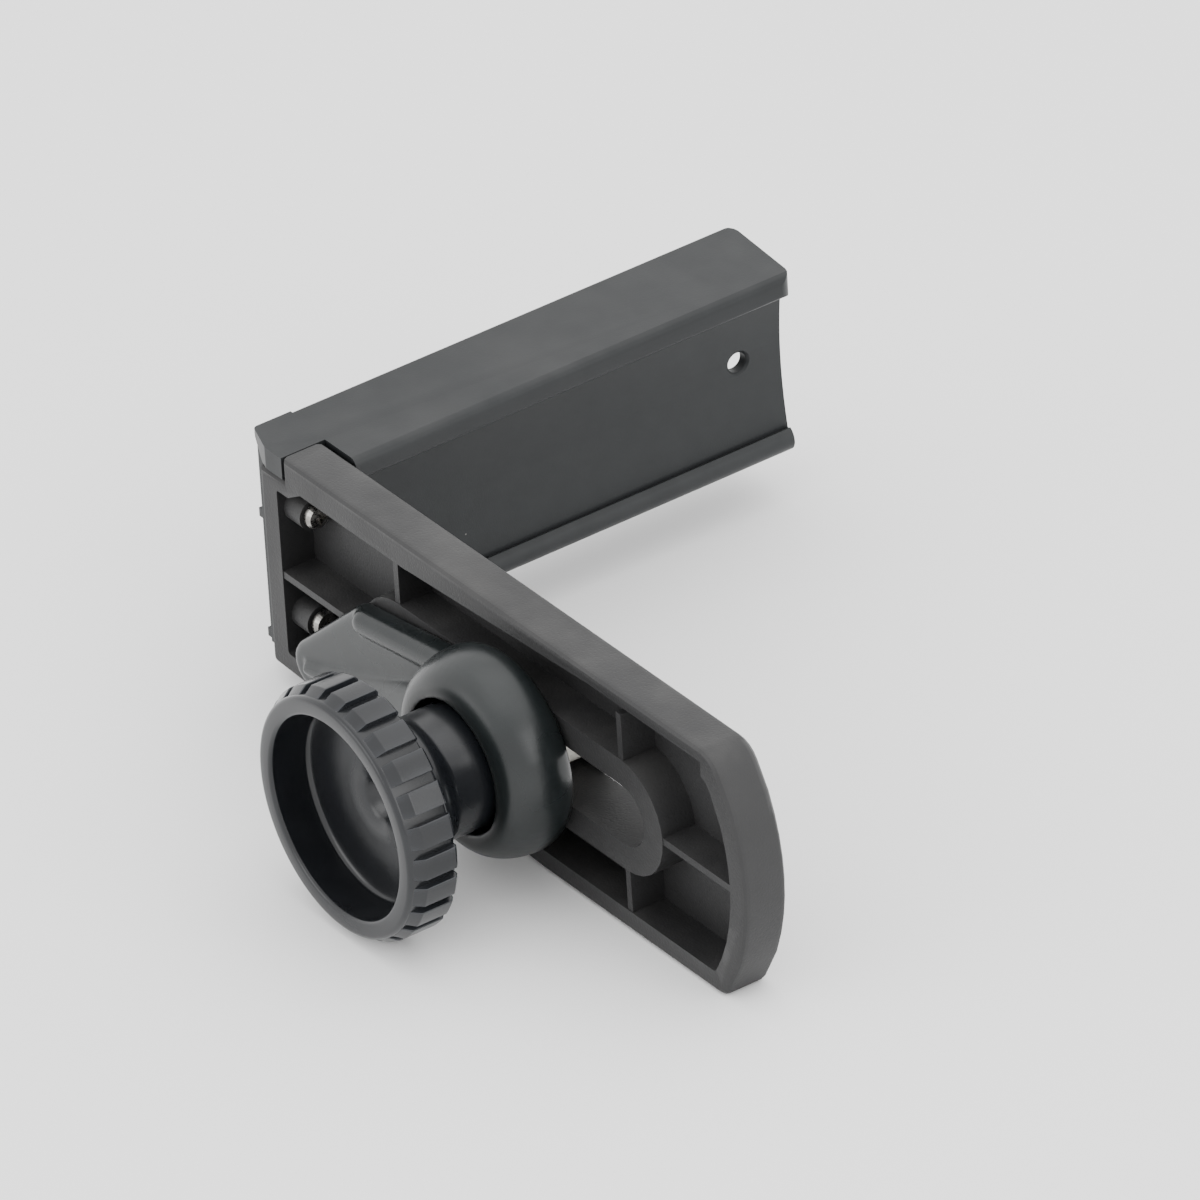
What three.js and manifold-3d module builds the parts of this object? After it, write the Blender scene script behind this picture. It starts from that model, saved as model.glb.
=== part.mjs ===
// L-shaped rod holder: a slotted arm and a cradle rail joined at a corner, with a hand clamp that slides
// along the arm's slot. Millimetres. X runs along the arm away from the corner, Y along the rail away from
// the knob, Z up. Shapes are written from the corner, and the exported group moves the base's centre to
// the origin.
import * as THREE from "three";
import { mergeVertices } from "three/addons/utils/BufferGeometryUtils.js";
import Module from "manifold-3d";

const wasm = await Module();
wasm.setup();

// ---------------------------------------------------------------- driving dimensions
const GAP = 0.3; // running gap between pieces that touch or slide
const OVERCUT = 1; // how far a cut or a joined piece runs past the face it meets

// slotted arm
const ARM_HEIGHT = 55;
const ARM_LENGTH = 150.6; // to the corners of the bulged free end
const END_BULGE = 8.9; // how far the free end swells past its corners
const ARM_DEPTH = 10.5;
const ARM_FLOOR = 2.6;
const WALL_TOP = 5.8;
const WALL_BOTTOM = 4.8;
const WALL_CORNER = 5.9; // end wall beside the rail
const WALL_FREE_END = 4.8;
const CORNER_LIFT = 4.2; // the lower edge rises by this much at the corner
const LIFT_LENGTH = 91; // length over which it rises
const FREE_TOP_RADIUS = 7;
const FREE_BOTTOM_RADIUS = 3;
const CORNER_BOTTOM_RADIUS = 1.5;
const NEAR_EDGE_RADIUS = 1.4;
const FAR_EDGE_RADIUS = 2;
const RIB_THICKNESS = 1.6;
const RIB_SETBACK = 0.2; // ribs stop this far below the open face
const LIP_BEVEL_HEIGHT = 3.2; // bevel inside the upper wall
const LIP_BEVEL_DEPTH = 3;
const LIP_BEVEL_START = 50; // it grows from nothing here
const LIP_BEVEL_RUN = 60; // to its full size over this length

// slot and the raised ring round it
const SLOT_WIDTH = 13.5;
const SLOT_FIRST = 46; // arc centre nearest the corner
const SLOT_LAST = 120; // arc centre nearest the free end
const SLOT_Z = 27;
const RING_WALL = 6;
const RING_RISE = 1.2; // ring stands proud of the far face

// cradle rail
const RAIL_LENGTH = 119.061; // far end before its corners are rounded, from the arm's open face
const RAIL_END_SLANT = 1.9; // far end is shorter at the lip by this much
const FLANGE_OVERHANG = 5.1; // flange beyond the arm's outer end
const FLANGE_WIDTH = 23.6;
const FLANGE_THICKNESS = 5;
const FLANGE_CORNER_RADIUS = 1.2;
const FLANGE_CORNER_SKEW = 2.6; // the flange's outer corner is cut back by this much
const FLANGE_CORNER_RUN = 7.5; // along X
const FLANGE_SETBACK = 0.2; // flange end behind the arm's open face
const FAR_CORNER_RADIUS = 3; // the rail's far corners, seen from above
const REBATE_LENGTH = 8.3; // part of the arm's top that the flange covers
const LIP_RADIUS = 1.8;
const WEB_FRONT = 11.9; // deepest point of the concave front
const WEB_SAG = 1.7; // how far the front curves forward at its edges
const WEB_THICKNESS = 2.5;
const BEAD_RADIUS = 2.9;
const BEAD_Z = 14.5;
const BEAD_REACH = 3.8; // bead's front ahead of the web's deepest point
const BACK_RIB_THICKNESS = 2;
const CROSS_RIBS = 4;
const CROSS_RIB_START = 30;
const CROSS_RIB_END = 100;
const END_WALL = 2.5; // wall across the rail behind the arm
const SIDE_PLATE_THICKNESS = 3.2; // plate beside the arm's corner wall
const SIDE_PLATE_SETBACK = 2.4;
const SIDE_PLATE_BOTTOM = 6;
const SIDE_RIB_SETBACK = 2.7;
const SIDE_RIB_HEIGHTS = [35.4, 7.5];
const WEB_HOLE_DIAMETER = 4.4;
const WEB_HOLE_SINK = 6;
const WEB_HOLE_FROM_END = 11.7;
const WEB_HOLE_Z = 35;

// arm screws, M3 pan head, through the arm's corner wall into the rail's side plate
const SCREW_HEIGHTS = [41.7, 16.9];
const SCREW_DEPTH = 4.9; // axis below the open face
const SCREW_SHANK = 3;
const SCREW_HEAD = 5.4;
const SCREW_HEAD_HEIGHT = 2;
const SCREW_RECESS = 1.1;
const SCREW_BOSS = 7;
const SCREW_BOSS_LENGTH = 5.4;

// clamp shoe
const CLAMP_X = 84.5; // bolt axis at rest
const SHOE_TILT = 11.5; // degrees that the tongue hangs below the slot's line
const SHOE_RADIUS = 21.7;
const SHOE_BACK_RADIUS = 18.6; // the bell draws in to this at its back
const SHOE_HEIGHT = 15.1; // from the shoe's back to its mouth
const SHOE_BASE = 5; // widest this far in front of the shoe's back
const SHOE_MOUTH_RADIUS = 15.8;
const SHOE_LIP = 1.6; // wall left round the mouth
const SHOE_FLOOR = 3.4;
const TONGUE_REACH = 72.2; // tip from the bolt axis
const TONGUE_NOSE_RADIUS = 5.4;
const TONGUE_THICKNESS = 4;
const WING_REACH = 45;
const WING_HALF = 18.4;
const WING_RADIUS = 4;
const WAIST_REACH = 8;
const WAIST_HALF = 16;
const RIM_RADIUS = 2.8; // rounded rim along each flank
const RIM_START = 42.5;
const RIM_PROUD = 2; // rim stands above the plate by this much
const RIDGE_END = 67; // the tongue's ridge fades out here
const RIDGE_START = 14; // inside the bell
const RIDGE_RISE_END = 1.6;
const RIDGE_RISE_START = 9;
const RIDGE_HALF_END = 2;
const RIDGE_HALF_START = 10;

// knob
const KNOB_RADIUS = 26.7; // over the grip teeth
const KNOB_DEPTH = 11.2; // toothed part
const KNOB_FRONT = 43.2; // knob's front rim from the shoe's back
const KNOB_TEETH = 24;
const TOOTH_HEIGHT = 1.4;
const TOOTH_SHARE = 0.7; // part of the pitch that a tooth fills
const TOOTH_BEVEL = 2.2; // sloped front end of a tooth
const CUP_RADIUS = 21.2;
const CUP_DEPTH = 9.2;
const CUP_DISH = 1.2;
const PIT_RADIUS = 5.2;
const PIT_DEPTH = 3;
const SHOULDER_RADIUS = 15.6;
const SHOULDER_LENGTH = 6.3;
const NECK_RADIUS = 13;

// bolt, insert, slot block and washers, M8
const BOLT_DIAMETER = 8;
const BOLT_CLEARANCE = 0.4; // radial, in the shoe and the thrust washer
const BOLT_INSET = 2; // thread end inside the insert
const BOLT_NECK_SIDE = 2; // flat-sided neck held by the slot block, wider than the shank by this each side
const BOLT_NECK_LENGTH = 6;
const BOLT_HEAD_DIAMETER = 19;
const BOLT_HEAD_HEIGHT = 4.6;
const BEVEL = 0.8;
const INSERT_ACROSS_FLATS = 13;
const INSERT_LENGTH = 15;
const BLOCK_STRAIGHT = 6; // straight part of the round-ended slot block
const WASHER_DIAMETER = 28;
const WASHER_THICKNESS = 2;
const THRUST_DIAMETER = 22;
const THRUST_THICKNESS = 1.2;

// ---------------------------------------------------------------- derived places
const MID_Z = ARM_HEIGHT / 2;
const SLOT_RADIUS = SLOT_WIDTH / 2;
const RING_FACE = ARM_DEPTH + RING_RISE;
const CAVITY_TOP = ARM_HEIGHT - WALL_TOP;
const FREE_END = ARM_LENGTH + END_BULGE;
const FLANGE_UNDER = ARM_HEIGHT - FLANGE_THICKNESS;
const REBATE_Z = FLANGE_UNDER - GAP;
const RAIL_BACK = -FLANGE_OVERHANG;
const LIP_X = RAIL_BACK + FLANGE_WIDTH;
const RAIL_START = ARM_DEPTH + GAP;
const WEB_BACK = WEB_FRONT - WEB_THICKNESS;
const BEAD_X = WEB_FRONT + BEAD_REACH - BEAD_RADIUS;
const RAIL_BOTTOM = BEAD_Z - BEAD_RADIUS;
const SCREW_BOSS_FACE = WALL_CORNER + SCREW_BOSS_LENGTH;
const SCREW_SEAT = SCREW_BOSS_FACE + GAP;
const SCREW_TIP = GAP - SIDE_PLATE_THICKNESS;
const SHOE_BACK = -GAP;
const SHOE_MOUTH = SHOE_BACK - SHOE_HEIGHT;
const SHOE_SEAT = SHOE_BACK - SHOE_FLOOR;
const KNOB_FACE = SHOE_BACK - KNOB_FRONT;
const KNOB_BACK = KNOB_FACE + KNOB_DEPTH;
const THRUST_FAR = SHOE_SEAT - GAP;
const THRUST_NEAR = THRUST_FAR - THRUST_THICKNESS;
const NECK_END = THRUST_NEAR - GAP; // the neck presses on the thrust washer
const WASHER_NEAR = RING_FACE + GAP;
const HEAD_NEAR = WASHER_NEAR + WASHER_THICKNESS + GAP;
const NECK_START = HEAD_NEAR - BOLT_NECK_LENGTH;

// ---------------------------------------------------------------- solids from geometries
// A closed three.js geometry as a solid.
function solid(geometry) {
  const bare = geometry.clone();
  bare.deleteAttribute("normal");
  bare.deleteAttribute("uv");
  const merged = mergeVertices(bare, 1e-4);
  return new wasm.Manifold(
    new wasm.Mesh({
      numProp: 3,
      vertProperties: new Float32Array(merged.attributes.position.array),
      triVerts: new Uint32Array(merged.index.array),
    }),
  );
}

function geometryOf(body) {
  const mesh = body.getMesh();
  const geometry = new THREE.BufferGeometry();
  geometry.setAttribute("position", new THREE.BufferAttribute(mesh.vertProperties, 3));
  geometry.setIndex(new THREE.BufferAttribute(mesh.triVerts, 1));
  const flat = geometry.toNonIndexed();
  flat.computeVertexNormals();
  return flat;
}

function extruded(points, depth) {
  const shape = new THREE.Shape(points.map(([x, y]) => new THREE.Vector2(x, y)));
  return new THREE.ExtrudeGeometry(shape, { depth, bevelEnabled: false });
}

// An outline of [x, z] points extruded from y0 to y1.
function slab(points, y0, y1) {
  return solid(extruded(points, y1 - y0).rotateX(Math.PI / 2).translate(0, y1, 0));
}

function box(x0, x1, y0, y1, z0, z1) {
  const geometry = new THREE.BoxGeometry(x1 - x0, y1 - y0, z1 - z0);
  return solid(geometry.translate((x0 + x1) / 2, (y0 + y1) / 2, (z0 + z1) / 2));
}

function lathe(profile, segments) {
  return new THREE.LatheGeometry(profile.map(([r, h]) => new THREE.Vector2(r, h)), segments);
}

// A profile of [radius, y] points, nearest first, turned round the Y axis.
function turned(profile, segments = 48) {
  return solid(lathe(profile, segments));
}

// A round bar along Y, on the Y axis.
function bar(radius, y0, y1, segments = 32) {
  return turned([[0, y0], [radius, y0], [radius, y1], [0, y1]], segments);
}

// A profile of [radius, x] points turned round an axis along X through (y, z).
function turnedAlongX(profile, y, z, segments = 28) {
  return solid(lathe(profile, segments).rotateZ(-Math.PI / 2).translate(0, y, z));
}

// A round bar along X on the axis through (y, z).
function barAlongX(radius, x0, x1, y, z) {
  return turnedAlongX([[0, x0], [radius, x0], [radius, x1], [0, x1]], y, z);
}

// ---------------------------------------------------------------- outlines
// Points on an arc from angle a to angle b, in degrees.
function arc(cx, cz, radius, a, b, steps) {
  return Array.from({ length: steps + 1 }, (_, i) => {
    const t = THREE.MathUtils.degToRad(a + ((b - a) * i) / steps);
    return [cx + radius * Math.cos(t), cz + radius * Math.sin(t)];
  });
}

// A slot with round ends between two arc centres.
function obround(x0, x1, z, radius, steps = 14) {
  return [...arc(x0, z, radius, 90, 270, steps), ...arc(x1, z, radius, -90, 90, steps)];
}

// Counter-clockwise corners [x, z, radius] as an outline with its corners rounded.
function rounded(corners, steps = 4) {
  return corners.flatMap(([x, z, radius = 0], i) => {
    if (radius === 0) return [[x, z]];
    const here = new THREE.Vector2(x, z);
    const [bx, bz] = corners[(i + corners.length - 1) % corners.length];
    const [ax, az] = corners[(i + 1) % corners.length];
    const before = new THREE.Vector2(bx, bz).sub(here).normalize();
    const after = new THREE.Vector2(ax, az).sub(here).normalize();
    const half = Math.acos(THREE.MathUtils.clamp(before.dot(after), -1, 1)) / 2;
    const inward = before.clone().add(after).normalize();
    const centre = here.clone().addScaledVector(inward, radius / Math.sin(half));
    const start = here.clone().addScaledVector(before, radius / Math.tan(half)).sub(centre).angle();
    let sweep = here.clone().addScaledVector(after, radius / Math.tan(half)).sub(centre).angle() - start;
    if (sweep > Math.PI) sweep -= 2 * Math.PI;
    if (sweep < -Math.PI) sweep += 2 * Math.PI;
    const [first, last] = [start, start + sweep].map(THREE.MathUtils.radToDeg);
    return arc(centre.x, centre.y, radius, first, last, steps);
  });
}

// The same corners moved inwards, with their radii reduced to match.
function inset(corners, distance) {
  const smallest = 0.15;
  return corners.map(([x, z, radius = 0], i) => {
    const [bx, bz] = corners[(i + corners.length - 1) % corners.length];
    const [ax, az] = corners[(i + 1) % corners.length];
    const into = new THREE.Vector2(x - bx, z - bz).normalize();
    const out = new THREE.Vector2(ax - x, az - z).normalize();
    const normal = new THREE.Vector2(-into.y, into.x);
    const mid = new THREE.Vector2(-out.y, out.x).add(normal).normalize();
    const reach = distance / mid.dot(normal);
    return [x + mid.x * reach, z + mid.y * reach, radius === 0 ? 0 : Math.max(smallest, radius - distance)];
  });
}

// Rings of matching [x, y, z] points joined in order and closed at both ends.
function lofted(rings, capFaces) {
  const count = rings[0].length;
  const index = [];
  for (let k = 0; k + 1 < rings.length; k++) {
    for (let i = 0; i < count; i++) {
      const a = k * count + i;
      const b = k * count + ((i + 1) % count);
      index.push(a, b + count, b, a, a + count, b + count);
    }
  }
  const last = (rings.length - 1) * count;
  capFaces(rings[0]).forEach(([a, b, c]) => index.push(a, b, c));
  capFaces(rings[rings.length - 1]).forEach(([a, b, c]) => index.push(last + a, last + c, last + b));
  const geometry = new THREE.BufferGeometry();
  geometry.setAttribute("position", new THREE.Float32BufferAttribute(rings.flat(2), 3));
  geometry.setIndex(index);
  return solid(geometry);
}

function outlineFaces(ring) {
  return THREE.ShapeUtils.triangulateShape(ring.map(([x, , z]) => new THREE.Vector2(x, z)), []);
}

// Outlines of [x, z] points stacked along Y; a level is a number or a function of x.
function stacked(outlines, levels) {
  const rings = outlines.map((outline, k) =>
    outline.map(([x, z]) => [x, typeof levels[k] === "function" ? levels[k](x) : levels[k], z]));
  return lofted(rings, outlineFaces);
}

// Corners extruded along Y, with the near and far edges rounded.
function softSlab(corners, y0, y1, nearRadius, farRadius, steps = 3) {
  const outlines = [];
  const levels = [];
  const edge = (radius, y, into, k) => {
    const t = (k / steps) * (Math.PI / 2);
    outlines.push(rounded(inset(corners, radius * (1 - Math.sin(t)))));
    levels.push(y + into * radius * (1 - Math.cos(t)));
  };
  for (let k = 0; k <= steps; k++) edge(nearRadius, y0, 1, k);
  for (let k = steps; k >= 0; k--) edge(farRadius, y1, -1, k);
  return stacked(outlines, levels);
}

// ---------------------------------------------------------------- slotted arm
// Points of the bulged free end at a distance inside it, from z0 up to z1.
function bulge(inside, z0, z1, steps) {
  const radius = (MID_Z * MID_Z + END_BULGE * END_BULGE) / (2 * END_BULGE);
  const centre = FREE_END - radius;
  return Array.from({ length: steps + 1 }, (_, i) => {
    const z = z0 + ((z1 - z0) * i) / steps;
    return [centre + Math.sqrt((radius - inside) ** 2 - (z - MID_Z) ** 2), z];
  });
}

function armCorners() {
  const end = bulge(0, 0, ARM_HEIGHT, 12);
  return [
    [0, CORNER_LIFT, CORNER_BOTTOM_RADIUS],
    [LIFT_LENGTH, 0],
    [...end[0], FREE_BOTTOM_RADIUS],
    ...end.slice(2, -2),
    [...end[end.length - 1], FREE_TOP_RADIUS],
    [REBATE_LENGTH, ARM_HEIGHT],
    [REBATE_LENGTH, REBATE_Z],
    [0, REBATE_Z],
  ];
}

function cavityCorners() {
  const end = bulge(WALL_FREE_END, WALL_BOTTOM, CAVITY_TOP, 10);
  const lowered = CAVITY_TOP - FLANGE_THICKNESS / 2;
  return [
    [WALL_CORNER, CORNER_LIFT * (1 - WALL_CORNER / LIFT_LENGTH) + WALL_BOTTOM, 0.8],
    [LIFT_LENGTH, WALL_BOTTOM],
    [...end[0], 1.5],
    ...end.slice(1, -2),
    [...end[end.length - 1], 4],
    [REBATE_LENGTH + WALL_TOP, CAVITY_TOP],
    [REBATE_LENGTH + 1.5, lowered],
    [WALL_CORNER, lowered, 0.6],
  ];
}

// A wedge cut inside the upper wall, so that the wall is thin at the open face.
function lipBevel() {
  const wedge = (share) => [
    [-OVERCUT, CAVITY_TOP - OVERCUT],
    [LIP_BEVEL_DEPTH * share, CAVITY_TOP - OVERCUT],
    [LIP_BEVEL_DEPTH * share, CAVITY_TOP],
    [0, CAVITY_TOP + LIP_BEVEL_HEIGHT * share],
    [-OVERCUT, CAVITY_TOP + LIP_BEVEL_HEIGHT * share],
  ];
  const end = ARM_LENGTH - FREE_TOP_RADIUS / 2;
  const full = LIP_BEVEL_START + LIP_BEVEL_RUN;
  const rings = [[end, 1], [full, 1], [LIP_BEVEL_START, 0.02]].map(([x, share]) =>
    wedge(share).map(([y, z]) => [x, y, z]));
  return lofted(rings, () => [[0, 1, 2], [0, 2, 3], [0, 3, 4]]);
}

function slottedArm() {
  const inFloor = ARM_DEPTH - OVERCUT;
  const half = RIB_THICKNESS / 2;
  const ribs = [
    box(WALL_CORNER - OVERCUT, SLOT_FIRST, RIB_SETBACK, inFloor, SLOT_Z - half, SLOT_Z + half),
    box(SLOT_LAST, FREE_END - WALL_FREE_END + OVERCUT, RIB_SETBACK, inFloor, SLOT_Z - half, SLOT_Z + half),
    ...[SLOT_FIRST, SLOT_LAST].map((x) =>
      box(x - half, x + half, RIB_SETBACK, inFloor, WALL_BOTTOM - OVERCUT, CAVITY_TOP + OVERCUT)),
  ];
  let body = softSlab(armCorners(), 0, ARM_DEPTH, NEAR_EDGE_RADIUS, FAR_EDGE_RADIUS);
  body = body.subtract(slab(rounded(cavityCorners()), -OVERCUT, ARM_DEPTH - ARM_FLOOR));
  body = body.subtract(lipBevel());
  for (const rib of ribs) body = body.add(rib);
  body = body.add(slab(obround(SLOT_FIRST, SLOT_LAST, SLOT_Z, SLOT_RADIUS + RING_WALL), 0, RING_FACE));
  const slot = obround(SLOT_FIRST, SLOT_LAST, SLOT_Z, SLOT_RADIUS);
  body = body.subtract(slab(slot, -OVERCUT, RING_FACE + OVERCUT));
  for (const z of SCREW_HEIGHTS) {
    body = body.add(barAlongX(SCREW_BOSS / 2, WALL_CORNER - OVERCUT, SCREW_BOSS_FACE, SCREW_DEPTH, z));
    body = body.subtract(barAlongX(SCREW_SHANK / 2 + GAP, -OVERCUT, SCREW_SEAT, SCREW_DEPTH, z));
  }
  return body;
}

// ---------------------------------------------------------------- cradle rail
// The concave front between the bead and the lip, from the bottom up.
function webFront(steps) {
  const middle = (FLANGE_UNDER + BEAD_Z) / 2;
  const half = FLANGE_UNDER - middle;
  const foot = BEAD_Z + BEAD_RADIUS * 0.7;
  return Array.from({ length: steps + 1 }, (_, i) => {
    const z = foot + ((FLANGE_UNDER - foot) * i) / steps;
    return [WEB_FRONT + WEB_SAG * ((z - middle) / half) ** 2, z];
  });
}

function railSection() {
  return rounded([
    [RAIL_BACK, RAIL_BOTTOM],
    [BEAD_X, RAIL_BOTTOM],
    ...arc(BEAD_X, BEAD_Z, BEAD_RADIUS, -75, 60, 9),
    ...webFront(10),
    [LIP_X, FLANGE_UNDER, 1],
    [LIP_X, ARM_HEIGHT, LIP_RADIUS],
    [RAIL_BACK, ARM_HEIGHT, 1],
    [RAIL_BACK, FLANGE_UNDER],
    [WEB_BACK, FLANGE_UNDER, 1.5],
    [WEB_BACK, RAIL_BOTTOM + BACK_RIB_THICKNESS, 1],
    [RAIL_BACK, RAIL_BOTTOM + BACK_RIB_THICKNESS],
  ]);
}

// The flange's end that covers the arm's corner.
function flangeCover() {
  const end = REBATE_LENGTH - GAP;
  const plan = rounded([
    [RAIL_BACK, FLANGE_SETBACK + FLANGE_CORNER_SKEW, FLANGE_CORNER_RADIUS],
    [RAIL_BACK + FLANGE_CORNER_RUN, FLANGE_SETBACK, 1],
    [end, FLANGE_SETBACK],
    [end, RAIL_START + OVERCUT],
    [RAIL_BACK, RAIL_START + OVERCUT],
  ]);
  // the overhang slopes in below its outer corner
  const slope = [
    [RAIL_BACK - OVERCUT, FLANGE_UNDER - OVERCUT],
    [-GAP, FLANGE_UNDER - OVERCUT],
    [-GAP, FLANGE_UNDER],
    [RAIL_BACK - OVERCUT, ARM_HEIGHT - GAP],
  ];
  return solid(extruded(plan, FLANGE_THICKNESS).translate(0, 0, FLANGE_UNDER))
    .subtract(slab(slope, FLANGE_SETBACK - OVERCUT, RAIL_START));
}

// The plate beside the arm's corner wall, its ribs, and the wall behind the arm that carries it.
function railEnd() {
  const wallEnd = RAIL_START + END_WALL;
  const top = ARM_HEIGHT - OVERCUT;
  const half = BACK_RIB_THICKNESS / 2;
  const plateBack = -GAP - SIDE_PLATE_THICKNESS;
  const plate = box(plateBack, -GAP, SIDE_PLATE_SETBACK, wallEnd, SIDE_PLATE_BOTTOM, top);
  const wall = box(RAIL_BACK, WEB_BACK + OVERCUT, RAIL_START, wallEnd, SIDE_PLATE_BOTTOM, top);
  return SIDE_RIB_HEIGHTS.reduce(
    (body, z) => body.add(box(RAIL_BACK, plateBack + OVERCUT, SIDE_RIB_SETBACK, wallEnd, z - half, z + half)),
    plate.add(wall),
  );
}

function cradleRail() {
  const farEnd = (x) => RAIL_LENGTH - (RAIL_END_SLANT * (x - RAIL_BACK)) / FLANGE_WIDTH;
  const section = railSection();
  const plan = rounded([
    [RAIL_BACK, RAIL_START - OVERCUT],
    [LIP_X, RAIL_START - OVERCUT],
    [LIP_X, farEnd(LIP_X), FAR_CORNER_RADIUS],
    [RAIL_BACK, farEnd(RAIL_BACK), FAR_CORNER_RADIUS],
  ]);
  let body = stacked([section, section], [RAIL_START, farEnd])
    .intersect(solid(extruded(plan, ARM_HEIGHT)))
    .add(flangeCover())
    .add(railEnd());
  for (let i = 0; i < CROSS_RIBS; i++) {
    const y = CROSS_RIB_START + ((CROSS_RIB_END - CROSS_RIB_START) * i) / (CROSS_RIBS - 1);
    body = body.add(box(RAIL_BACK + OVERCUT, WEB_BACK + OVERCUT, y, y + BACK_RIB_THICKNESS,
      RAIL_BOTTOM + OVERCUT, FLANGE_UNDER + OVERCUT));
  }
  for (const z of SCREW_HEIGHTS) {
    body = body.subtract(barAlongX(SCREW_SHANK / 2 + GAP, RAIL_BACK, 0, SCREW_DEPTH, z));
  }
  // countersunk hole near the far end
  const [inner, outer] = [WEB_HOLE_DIAMETER / 2, WEB_HOLE_SINK / 2];
  const front = WEB_FRONT + GAP;
  return body.subtract(turnedAlongX([[0, WEB_BACK - OVERCUT], [inner, WEB_BACK - OVERCUT],
    [inner, front - (outer - inner)], [outer, front], [outer, front + OVERCUT], [0, front + OVERCUT]],
    RAIL_LENGTH - WEB_HOLE_FROM_END, WEB_HOLE_Z));
}

// ---------------------------------------------------------------- arm screws
function armScrew(z) {
  const [head, shank] = [SCREW_HEAD / 2, SCREW_SHANK / 2];
  const top = SCREW_SEAT + SCREW_HEAD_HEIGHT;
  const body = turnedAlongX([[0, SCREW_TIP], [shank - 0.6, SCREW_TIP], [shank, SCREW_TIP + 1],
    [shank, SCREW_SEAT], [head, SCREW_SEAT], [head, SCREW_SEAT + 0.7], [head * 0.85, top - 0.4],
    [head * 0.5, top - 0.06], [0, top]], SCREW_DEPTH, z);
  const [long, short] = [head * 0.55, 0.4];
  const recess = (y, w) =>
    box(top - SCREW_RECESS, top + OVERCUT, SCREW_DEPTH - y, SCREW_DEPTH + y, z - w, z + w);
  return body.subtract(recess(long, short)).subtract(recess(short, long));
}

// ---------------------------------------------------------------- clamp shoe, tongue along -X
// The arrowhead plate's corners: a round nose, two wings and a waist inside the bell.
function tongueCorners() {
  const centre = TONGUE_REACH - TONGUE_NOSE_RADIUS;
  const toWing = Math.atan2(WING_HALF, centre - WING_REACH);
  const flank = toWing - Math.asin(TONGUE_NOSE_RADIUS / Math.hypot(WING_HALF, centre - WING_REACH));
  const apex = centre + TONGUE_NOSE_RADIUS / Math.sin(flank);
  return [
    [-WAIST_REACH, WAIST_HALF],
    [-WING_REACH, WING_HALF, WING_RADIUS],
    [-apex, 0, TONGUE_NOSE_RADIUS],
    [-WING_REACH, -WING_HALF, WING_RADIUS],
    [-WAIST_REACH, -WAIST_HALF],
  ];
}

// A rounded ridge along the tongue that rises into the bell.
function tongueRidge(steps = 8, around = 8) {
  const foot = SHOE_BACK - TONGUE_THICKNESS / 2;
  const face = SHOE_BACK - TONGUE_THICKNESS;
  const rings = Array.from({ length: steps + 1 }, (_, k) => {
    const t = k / steps;
    const reach = RIDGE_END + (RIDGE_START - RIDGE_END) * t;
    const half = RIDGE_HALF_END + (RIDGE_HALF_START - RIDGE_HALF_END) * t ** 1.3;
    const crest = face - RIDGE_RISE_END - (RIDGE_RISE_START - RIDGE_RISE_END) * t ** 1.4;
    return Array.from({ length: around + 1 }, (_, i) => {
      const a = (i / around) * Math.PI;
      return [-reach, foot + (crest - foot) * Math.sin(a), -half * Math.cos(a)];
    });
  });
  const fan = (ring) => ring.slice(2).map((_, i) => [0, i + 1, i + 2]);
  return lofted(rings, fan);
}

// A rounded rim along one flank of the tongue, from its wing into the bell.
function tongueRim(side, steps = 6) {
  const from = new THREE.Vector2(-RIM_START, side * (WING_HALF - RIM_RADIUS));
  const to = new THREE.Vector2(-WAIST_REACH, side * (WAIST_HALF - RIM_RADIUS));
  const run = to.clone().sub(from);
  const quarter = (sign) => Array.from({ length: steps }, (_, i) => {
    const t = ((sign > 0 ? i + 1 : i) / steps) * (Math.PI / 2);
    return sign > 0
      ? [RIM_RADIUS * Math.cos(t), run.length() / 2 + RIM_RADIUS * Math.sin(t)]
      : [RIM_RADIUS * Math.sin(t), -run.length() / 2 - RIM_RADIUS * Math.cos(t)];
  });
  const profile = [...quarter(-1), [RIM_RADIUS, -run.length() / 2], [RIM_RADIUS, run.length() / 2],
    ...quarter(1)];
  profile[0][0] = 0;
  profile[profile.length - 1][0] = 0;
  const level = SHOE_BACK - TONGUE_THICKNESS - RIM_PROUD + RIM_RADIUS;
  const [x, z] = [(from.x + to.x) / 2, (from.y + to.y) / 2];
  return solid(lathe(profile, 20).rotateZ(-Math.PI / 2).rotateY(-run.angle()).translate(x, level, z));
}

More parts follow.
